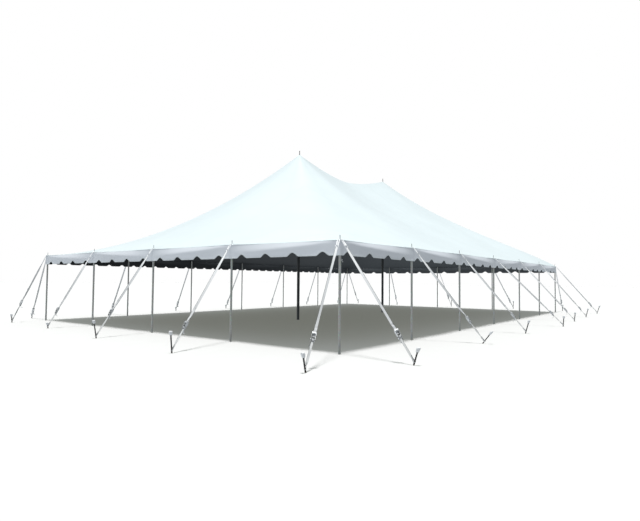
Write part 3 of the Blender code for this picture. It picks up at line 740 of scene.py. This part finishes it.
def make_fittings(context):
    """Finishes the poles, and adds a turned washer on the fabric round each pin, and the locking pin of the
    near corner pole: a bent wire carried along a path."""
    sizes = context.scene.event_tent_sizes
    for names, key in ((SIDE_POLES, "hot_dip_galvanised_tube"), (CENTRE_POLES, "painted_steel_pole")):
        for name in names:
            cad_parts[name].data.materials.clear()
            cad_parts[name].data.materials.append(finish(context, key))
    washers = []
    for name in SIDE_POLES:
        base = node_middle(name)
        plan = base - MIDDLE
        base[2] = float(top_height(sizes, plan[0], plan[1])) + 0.0035
        profile = [(0.0090, 0.0), (0.0210, 0.0), (0.0220, 0.0010), (0.0210, 0.0022), (0.0100, 0.0026),
                   (0.0090, 0.0)]
        washers.append(turned(profile, base, UP, 20, ends=False))
    for name in CENTRE_POLES:
        base = node_middle(name) + UP * (sizes.peak + 0.001)
        profile = [(0.0128, 0.0), (0.0240, -0.0060), (0.0250, -0.0040), (0.0150, 0.0030), (0.0128, 0.0030),
                   (0.0128, 0.0)]
        washers.append(turned(profile, base, UP, 24, ends=False))
    piece(context, "pole_pin_washers", washers, ["zinc_plated_steel"])
    pole, across = node_middle("front_left_corner_pole"), unit(np.array([1.0, -1.0, 0.0]))
    bends = np.array(((-0.030, 1.815), (0.034, 1.815), (0.046, 1.817), (0.050, 1.830), (0.042, 1.838),
                      (0.034, 1.828), (0.040, 1.805), (0.056, 1.785), (0.066, 1.778)))
    wire = carried(smooth_path(pole + bends[:, :1] * across + bends[:, 1:] * UP, 60, rounds=3),
                   (0.3, 0.3, 1.0), round_outline(0.0032, 8))
    knob = turned([(0.0, -0.006), (0.009, -0.005), (0.011, 0.0), (0.009, 0.005), (0.0, 0.006)],
                  pole + across * 0.034 + UP * 1.815, across, 14)
    piece(context, "corner_pole_locking_pin", [wire, knob], ["zinc_plated_steel"])


# ---- Guys ----

def guy_lines(sizes):
    """For each guy: its name, its pole, the directions out from the side and along it, and the points that
    the CAD gives it: the start at the eave, the ring's middle, the ratchet and the end on the stake's axis. A
    corner guy's strap turns its broad side to the corner's diagonal."""
    lines = []
    for side, (outward, sideways, across, half) in SIDES.items():
        for i, (drift, reach, share, lean, high, twist) in enumerate(GUYS[side]):
            offset = -half + i * sizes.bay
            pole = MIDDLE + outward * across + sideways * offset
            name, faces = f"{side}_guy_{i}", outward
            if i in (0, len(GUYS[side]) - 1):
                plan = pole - MIDDLE
                near, end = "front" if plan[1] < 0 else "back", "left" if plan[0] < 0 else "right"
                name, faces = f"{near}_{end}_corner_guy_{side}", unit(np.sign(plan))
            eave = float(eave_height(sizes, np.array(offset), half))
            start = pole + outward * (sizes.overhang + GAP) + UP * (eave - 0.004)
            ground = pole + outward * reach + sideways * drift
            stake = UP + outward * math.tan(math.radians(lean))
            whole = ground + stake * LOOP_HEIGHT - start
            along = unit(whole)
            side_axis = np.cross(UP, faces)
            side_axis = side_axis * np.sign(side_axis.dot(sideways))
            side_axis = unit(side_axis - along * along.dot(side_axis))
            face = np.cross(along, side_axis)
            length = float(np.linalg.norm(whole))
            lines.append(SimpleNamespace(
                name=name, number=len(lines), pole=pole, outward=outward, sideways=sideways, along=along,
                side=side_axis, face=face if face[2] > 0 else -face, start=start, end=start + whole,
                ring=start + along * (sizes.tab + sizes.ring), buckle=start + whole * share, length=length,
                to_buckle=length * share, past_buckle=length * (1.0 - share), ground=ground, stake=stake,
                high=high, eave=eave, twist=math.radians(twist)))
    return lines


def local(guy, origin, points):
    """Points given along, sideways and outwards from a guy's own line."""
    return origin + np.asarray(points, float) @ np.stack((guy.along, guy.side, guy.face))


def strap(guy, origin, points, outline, run, before=0.0, **options):
    """A section carried along points that are given along, sideways and outwards from a guy's own line, and
    turned about that line. The angle grows from nothing by a smooth step past the run's start, holds at its
    twist, and falls again by a smooth step short of its stop, which both count from before the origin."""
    along, across, outwards = np.asarray(points, float).T
    at, (start, stop, ease, twist) = along + before, run
    angle = twist * smooth_step((at - start) / ease) * smooth_step((stop - at) / ease)
    cosine, sine = np.cos(angle), np.sin(angle)
    line = joined(along, across * cosine - outwards * sine, across * sine + outwards * cosine)
    return carried(local(guy, origin, line), cosine[:, None] * guy.side + sine[:, None] * guy.face, outline,
                   **options)


def webbing_shapes(sizes, guy):
    """A guy's webbing, as flat sections carried along paths: two tab legs from the pole pin over the eave to
    the ring, the upper strap with its sewn return layer, the coil on the ratchet's spool (a spiral whose
    radius grows with its angle), a loose end tucked along the strap, a short curled tail, the lower strap,
    and the loop round the stake. The straps twist between their ends."""
    t, side, sideways, outward = sizes.webbing, guy.side, guy.sideways, guy.outward
    shapes = []
    top = guy.pole + UP * (guy.eave + 0.005)
    for hand in (-1.0, 1.0):
        over = np.stack((top - outward * 0.012 + sideways * hand * 0.013,
                         top + outward * (sizes.overhang - 0.004) + sideways * hand * 0.018,
                         guy.start + guy.along * 0.014 + guy.face * 0.008 + sideways * hand * 0.022,
                         guy.start + guy.along * 0.052 + guy.face * 0.004 + sideways * hand * 0.024))
        to_ring = local(guy, guy.ring - guy.along * sizes.ring, (
            (-0.006, hand * 0.013, 0.0070), (0.008, hand * 0.013, 0.0052),
            (0.010, hand * 0.013, -0.0047), (-0.024, hand * 0.014, -0.0052)))
        leg = smooth_path(np.concatenate((over, to_ring)), 44, rounds=3)
        turning = smooth_step((lengths(leg) / lengths(leg)[-1] - 0.25) / 0.45)[:, None]
        shapes.append(carried(leg, sideways * (1.0 - turning) + side * turning, bar_outline(TAB_WIDTH, t, 10),
                              slot=2))
    # The upper strap, by how far each point is past the ring's middle.
    wire = sizes.ring_wire + t / 2 + 0.0004
    far, before_ring = sizes.ring, sizes.tab + sizes.ring
    sewn = guy.length * 0.33 - before_ring
    to_buckle = guy.to_buckle - before_ring
    to_spool = to_buckle + SPOOL - 0.004
    bend = np.linspace(-np.pi / 2, -3 * np.pi / 2, 9)
    path = np.concatenate((joined(np.linspace(sewn, far + 0.02, 14), 0.0, -t * 0.55),
                           joined(far + wire * np.cos(bend), 0.0, wire * np.sin(bend)),
                           joined(np.linspace(far + 0.02, to_spool - 0.06, 40), 0.0, t * 0.55),
                           np.array(((to_spool - 0.02, 0.0, 0.012), (to_spool, 0.0, 0.0285)))))
    width = 0.84 + 0.16 * np.clip((path[:, 0] - far) / 0.05, 0.0, 1.0)
    run = (far + 0.03, to_spool - 0.12, 0.42, guy.twist)
    shapes.append(strap(guy, guy.ring, path, bar_outline(sizes.strap, t, 14), run, width=width))
    # The coil, the tucked end and the tail, from the ratchet's own place.
    turns = np.linspace(0.0, 2 * np.pi * 3, 64)
    coil = 0.0100 + 0.0026 * turns / (2 * np.pi)
    spool = joined(SPOOL + coil * np.sin(turns), 0.0, SPOOL_OUT + coil * np.cos(turns))
    shapes.append(carried(local(guy, guy.buckle, spool), side, bar_outline(0.047, t * 0.9, 10)))
    spare = 0.16 + 0.05 * (guy.number * 5 % 7)
    lie = np.linspace(0.0, 1.0, 16)
    tucked = joined(-0.070 - spare * lie, 0.010 * np.sin(5.0 * lie + guy.number) * lie,
                    0.0080 + 0.0070 * np.sin(np.pi * lie * 2.5) ** 2)
    shapes.append(strap(guy, guy.buckle, tucked, bar_outline(sizes.strap * 0.92, t, 10), run, to_buckle))
    tail = smooth_path(local(guy, guy.buckle, (
        (0.040, 0.000, -0.012), (0.070, 0.003, -0.022), (0.105, 0.008, -0.027), (0.135, 0.014, -0.046),
        (0.136, 0.018, -0.078), (0.118, 0.020, -0.094))), 26, rounds=4)
    shapes.append(carried(tail, side, bar_outline(sizes.strap * 0.9, t, 10)))
    # The lower strap, folded round the ratchet's fixed bolt, and the loop round the stake.
    split = guy.past_buckle - 0.115
    fixed = np.concatenate((joined(np.linspace(split, 0.098, 14), 0.0, -t * 0.6),
                            np.array(((0.0835, 0.0, -0.0065), (0.0795, 0.0, 0.0), (0.0835, 0.0, 0.0065))),
                            joined(np.linspace(0.100, split + 0.02, 16), 0.0, t * 0.6)))
    run = (0.11, split - 0.01, 0.17, 0.7 * guy.twist)
    shapes.append(strap(guy, guy.buckle, fixed, bar_outline(sizes.lower_strap, t, 12), run, slot=1))
    reach = sizes.stake + t / 2 + 0.0006
    arc = np.linspace(-np.pi * 0.62, np.pi * 0.62, 17)
    join = guy.past_buckle - split + 0.012
    legs = np.array(((-join, -0.002, 0.0), (-join * 0.6, -0.005, 0.0)))
    loop = np.concatenate((legs, joined(reach * np.cos(arc), reach * np.sin(arc), 0.0),
                           legs[::-1] * (1.0, -1.0, 1.0)))
    shapes.append(carried(smooth_path(local(guy, guy.end, loop), 60, rounds=2),
                          unit(guy.face + guy.stake), bar_outline(0.030, t, 10), slot=1))
    return [("webbing", shapes, ("woven_polyester_webbing", "woven_lower_webbing", "woven_tab_webbing"))]


def ratchet_shapes(sizes, guy):
    """A guy's ring and ratchet: the ring is a round section carried round a circle; the ratchet has two side
    plates (a superellipse with a hump over the spool), a dark spool with toothed wheels whose radius rises in
    steps round the circle, cross bolts, a base plate, and a folded handle of two arms and a curved grip."""
    side, at, along, face = guy.side, guy.buckle, guy.along, guy.face
    ring = joined(*round_outline(sizes.ring, 36).T, 0.0)
    shapes = [carried(local(guy, guy.ring, ring), face, round_outline(sizes.ring_wire, 10), closed=True)]
    x = 0.0975 * signed_power(np.cos(angles(48)), 0.7)
    y = 0.0160 * signed_power(np.sin(angles(48)), 0.6)
    cheek = joined(x, y + np.where(y > 0, 0.012 * np.exp(-((x - SPOOL) / 0.026) ** 2), 0.0))
    wheel = round_outline(0.0180 + 0.0038 * ((angles(60) * 12 / (2 * np.pi)) % 1.0), 60)
    hub = at + along * SPOOL + face * SPOOL_OUT
    rivet = ((0.0, -0.001), (0.0085, -0.001), (0.0085, 0.001), (0.0065, 0.003), (0.0, 0.0035))
    for hand in (-1.0, 1.0):
        shapes.append(plate(cheek, PLATE, at + side * hand * 0.0330, along, face))
        shapes.append(plate(wheel, PLATE, hub + side * hand * 0.0288, along, face, slot=1))
        arm = ((0.052, hand * 0.0372, 0.012), (0.014, hand * 0.0372, 0.022),
               (-0.040, hand * 0.0372, 0.030), (-0.084, hand * 0.0366, 0.027))
        shapes.append(carried(smooth_path(local(guy, at, arm), 14, 2), face, bar_outline(0.017, PLATE, 8)))
        shapes.append(turned(rivet, hub + side * hand * 0.0405, side * hand, 12, slot=1))
    # The handle's bolt, the fixed bolt, the spool and the catch's bolt: their place along and out from the
    # guy, radius and half length.
    for ahead, out, radius, reach in ((-0.084, 0.0, 0.0048, 0.036), (0.0880, 0.0, 0.0048, 0.036),
                                      (SPOOL, SPOOL_OUT, 0.0088, 0.043), (-0.014, -0.004, 0.0035, 0.034)):
        bolt = at + along * ahead + face * out + side * np.array(((-reach,), (0.0,), (reach,)))
        shapes.append(carried(bolt, along, round_outline(radius, 12), slot=1))
    base = smooth_path(((-0.078, 0.0, -0.0125), (-0.030, 0.0, -0.0140), (0.004, 0.0, -0.0125)), 10, 1)
    bend = np.linspace(-1.1, 1.1, 11)
    grip = joined(-0.082 + 0.024 * np.sin(bend), 0.0, 0.016 + 0.022 * np.cos(bend))
    catch = ((-0.010, 0.0, 0.022), (0.012, 0.0, 0.026), (0.026, 0.0, 0.021))
    for path, width, thickness, slot in ((base, 0.062, 0.0024, 0), (grip, 0.076, PLATE, 0),
                                         (catch, 0.060, 0.0030, 1)):
        shapes.append(carried(local(guy, at, path), side, bar_outline(width, thickness, 12), slot=slot))
    return [("ratchet", shapes, ("zinc_plated_steel", "oiled_steel_spool"))]


def stake_shapes(sizes, guy):
    """A guy's stake: a turned shaft with a collar, leaning with level circles so that its foot is flat on the
    ground, and a moulded cap, a turned bulb that is wider towards its crowned top."""
    high, r, c, tall = guy.high, sizes.stake, sizes.cap, sizes.cap_height
    low = high - tall
    shaft = [(0.0, 0.0), (r, 0.0), (r, 0.072), (r * 0.94, 0.076), (r * 0.94, low - 0.012),
             (r * 1.22, low - 0.008), (r * 1.22, low + 0.004), (r, low + 0.008), (r, high - 0.030),
             (0.0, high - 0.028)]
    cup = [(r * 1.02, low + 0.004), (c * 0.62, low), (c * 0.72, low + 0.003), (c * 0.80, low + tall * 0.18),
           (c * 0.91, low + tall * 0.42), (c * 0.98, low + tall * 0.60), (c, low + tall * 0.72),
           (c * 0.97, low + tall * 0.83), (c * 0.86, low + tall * 0.92), (c * 0.62, low + tall * 0.98),
           (0.0, high), (0.0, high - 0.020), (r * 1.02, high - 0.022), (r * 1.02, low + 0.004)]
    shaft = turned(shaft, guy.ground, guy.stake, 20, level=True)
    cup = turned(cup, guy.ground, guy.stake, 28, level=True, ends=False)
    return [("stake", [shaft], ["forged_steel_stake"]), ("stake_cap", [cup], ["moulded_polyethylene_cap"])]


# ---- Stage ----

def make_floor(context):
    """A pale floor that lets the dome's light through from below, so that the undersides are lit evenly."""
    mesh = bpy.data.meshes.new("studio_floor")
    reach, level = 220.0, -0.002
    mesh.from_pydata([(-reach, -reach, level), (reach, -reach, level), (reach, reach, level),
                      (-reach, reach, level)], [], [(0, 1, 2, 3)])
    mesh.materials.append(finish(context, "painted_studio_floor"))
    floor = bpy.data.objects.new("studio_floor", mesh)
    floor.visible_diffuse = floor.visible_glossy = floor.visible_shadow = False
    context.scene.collection.objects.link(floor)


def make_light(context):
    """A dome of soft light, plain white to the camera, with a broad lamp overhead. From below, the front gets
    less light than the back, so that the long valance looks darker than the short one."""
    world = bpy.data.worlds.new("studio")
    context.scene.world = world
    world.use_nodes = True
    add = partial(add_node, world.node_tree)
    way = add("TexCoord", out="Generated")
    height = add("SeparateXYZ", {0: way}, out=2)
    above = add("MapRange", {0: height, 1: -0.05, 2: 0.05})
    tones = ((0.0, (0.70, 0.735, 0.77, 1.0)), (1.0, (0.34, 0.37, 0.39, 1.0)))
    light = add("ValToRGB", {0: above}, stops=tones)
    lean = add("VectorMath", {0: way, 1: (-0.09, 0.44, 0.0)}, out="Value", operation="DOT_PRODUCT")
    lean = add("Math", {0: lean, 1: 1.0}, operation="ADD")
    strength = add("MapRange", {0: height, 1: -0.05, 2: 0.05, 3: lean, 4: 1.0})
    dome = world.node_tree.nodes["Background"]
    fill(dome, {0: light, 1: strength})
    seen = add("Background", {0: (1.0, 1.0, 1.0, 1.0), 1: 1.0})
    mix = add("MixShader", {0: add("LightPath", out="Is Camera Ray"), 1: dome.outputs[0], 2: seen})
    fill(world.node_tree.nodes["World Output"], {0: mix})
    lamp = bpy.data.lights.new("overhead", "SUN")
    lamp.energy = 3.08
    lamp.angle = math.radians(11)
    sun = bpy.data.objects.new("overhead", lamp)
    sun.rotation_euler = Vector((0.08, 0.05, -1.0)).to_track_quat("-Z", "Y").to_euler()
    context.scene.collection.objects.link(sun)
    context.scene.view_settings.view_transform = "Standard"


def make_camera(context):
    """The photograph's camera, turned by its yaw from +X, its pitch and its roll."""
    data = bpy.data.cameras.new("photograph")
    data.lens = 28.0
    data.sensor_width = 36.0
    data.clip_end = 1000.0
    camera = bpy.data.objects.new("photograph", data)
    place, square = Matrix.Translation(CAMERA_PLACE), math.pi / 2
    for axis, angle in (("Z", CAMERA_YAW - square), ("X", CAMERA_PITCH + square), ("Z", CAMERA_ROLL)):
        place @= Matrix.Rotation(angle, 4, axis)
    camera.matrix_world = place
    context.scene.collection.objects.link(camera)
    context.scene.camera = camera


# ---- Operators ----

def make_for_guys(context, pieces_of):
    """Makes the pieces of every guy for which the given function gives a name, the shapes and the
    finishes."""
    sizes = context.scene.event_tent_sizes
    for guy in guy_lines(sizes):
        need_nodes(guy.name)
        for part, shapes, finishes in pieces_of(sizes, guy):
            piece(context, f"{guy.name}_{part}", shapes, finishes, [guy.name])
    return {"FINISHED"}


class EVENTTENT_OT_top(Operator):
    """Make the tent top: one stretched sheet with two peaks"""

    bl_idname = "event_tent.make_top"
    bl_label = "Tent Top"

    def execute(self, context):
        need_nodes("tent_top", *CENTRE_POLES, *SIDE_POLES)
        make_top(context)
        return {"FINISHED"}


class EVENTTENT_OT_valances(Operator):
    """Make the four notched valances below the eave"""

    bl_idname = "event_tent.make_valances"
    bl_label = "Valances"

    def execute(self, context):
        for side in SIDES:
            need_nodes(f"valance_{side}")
            make_valance(context, side)
        return {"FINISHED"}


class EVENTTENT_OT_fittings(Operator):
    """Finish the poles and add the washers and the locking pin"""

    bl_idname = "event_tent.make_fittings"
    bl_label = "Poles and Fittings"

    def execute(self, context):
        need_nodes(*CENTRE_POLES, *SIDE_POLES)
        make_fittings(context)
        return {"FINISHED"}


class EVENTTENT_OT_webbing(Operator):
    """Make the webbing of the twenty-four guys"""

    bl_idname = "event_tent.make_webbing"
    bl_label = "Guy Webbing"

    def execute(self, context):
        return make_for_guys(context, webbing_shapes)


class EVENTTENT_OT_ratchets(Operator):
    """Make the rings and ratchets of the guys"""

    bl_idname = "event_tent.make_ratchets"
    bl_label = "Rings and Ratchets"

    def execute(self, context):
        return make_for_guys(context, ratchet_shapes)


class EVENTTENT_OT_stakes(Operator):
    """Make the leaning ground stakes and their caps"""

    bl_idname = "event_tent.make_stakes"
    bl_label = "Stakes"

    def execute(self, context):
        return make_for_guys(context, stake_shapes)


class EVENTTENT_OT_stage(Operator):
    """Make the floor, the light and the camera"""

    bl_idname = "event_tent.make_stage"
    bl_label = "Stage"

    def execute(self, context):
        for make in (make_floor, make_light, make_camera):
            make(context)
        return {"FINISHED"}


STEPS = (EVENTTENT_OT_top, EVENTTENT_OT_valances, EVENTTENT_OT_fittings, EVENTTENT_OT_webbing,
         EVENTTENT_OT_ratchets, EVENTTENT_OT_stakes, EVENTTENT_OT_stage)


class EVENTTENT_PT_panel(Panel):
    """Lists the tent's steps, its sizes and its colours"""

    bl_idname = "EVENTTENT_PT_panel"
    bl_label = "Event Tent"
    bl_space_type = "VIEW_3D"
    bl_region_type = "UI"
    bl_category = "Tent"

    def draw(self, context):
        for step in STEPS:
            self.layout.operator(step.bl_idname)
        for group in (context.scene.event_tent_sizes, context.scene.event_tent_colours):
            box = self.layout.box()
            for key in group.__annotations__:
                box.prop(group, key)


CLASSES = (TentSizes, TentColours, *STEPS, EVENTTENT_PT_panel)


def register():
    """Registers the classes, and gives the scene the tent's sizes and colours."""
    for cls in CLASSES:
        bpy.utils.register_class(cls)
    bpy.types.Scene.event_tent_sizes = PointerProperty(type=TentSizes)
    bpy.types.Scene.event_tent_colours = PointerProperty(type=TentColours)


def unregister():
    """Takes back what register adds."""
    del bpy.types.Scene.event_tent_sizes
    del bpy.types.Scene.event_tent_colours
    for cls in reversed(CLASSES):
        bpy.utils.unregister_class(cls)


def main():
    register()
    bpy.ops.event_tent.make_top()
    bpy.ops.event_tent.make_valances()
    bpy.ops.event_tent.make_fittings()
    bpy.ops.event_tent.make_webbing()
    bpy.ops.event_tent.make_ratchets()
    bpy.ops.event_tent.make_stakes()
    bpy.ops.event_tent.make_stage()


if __name__ == "__main__":
    main()
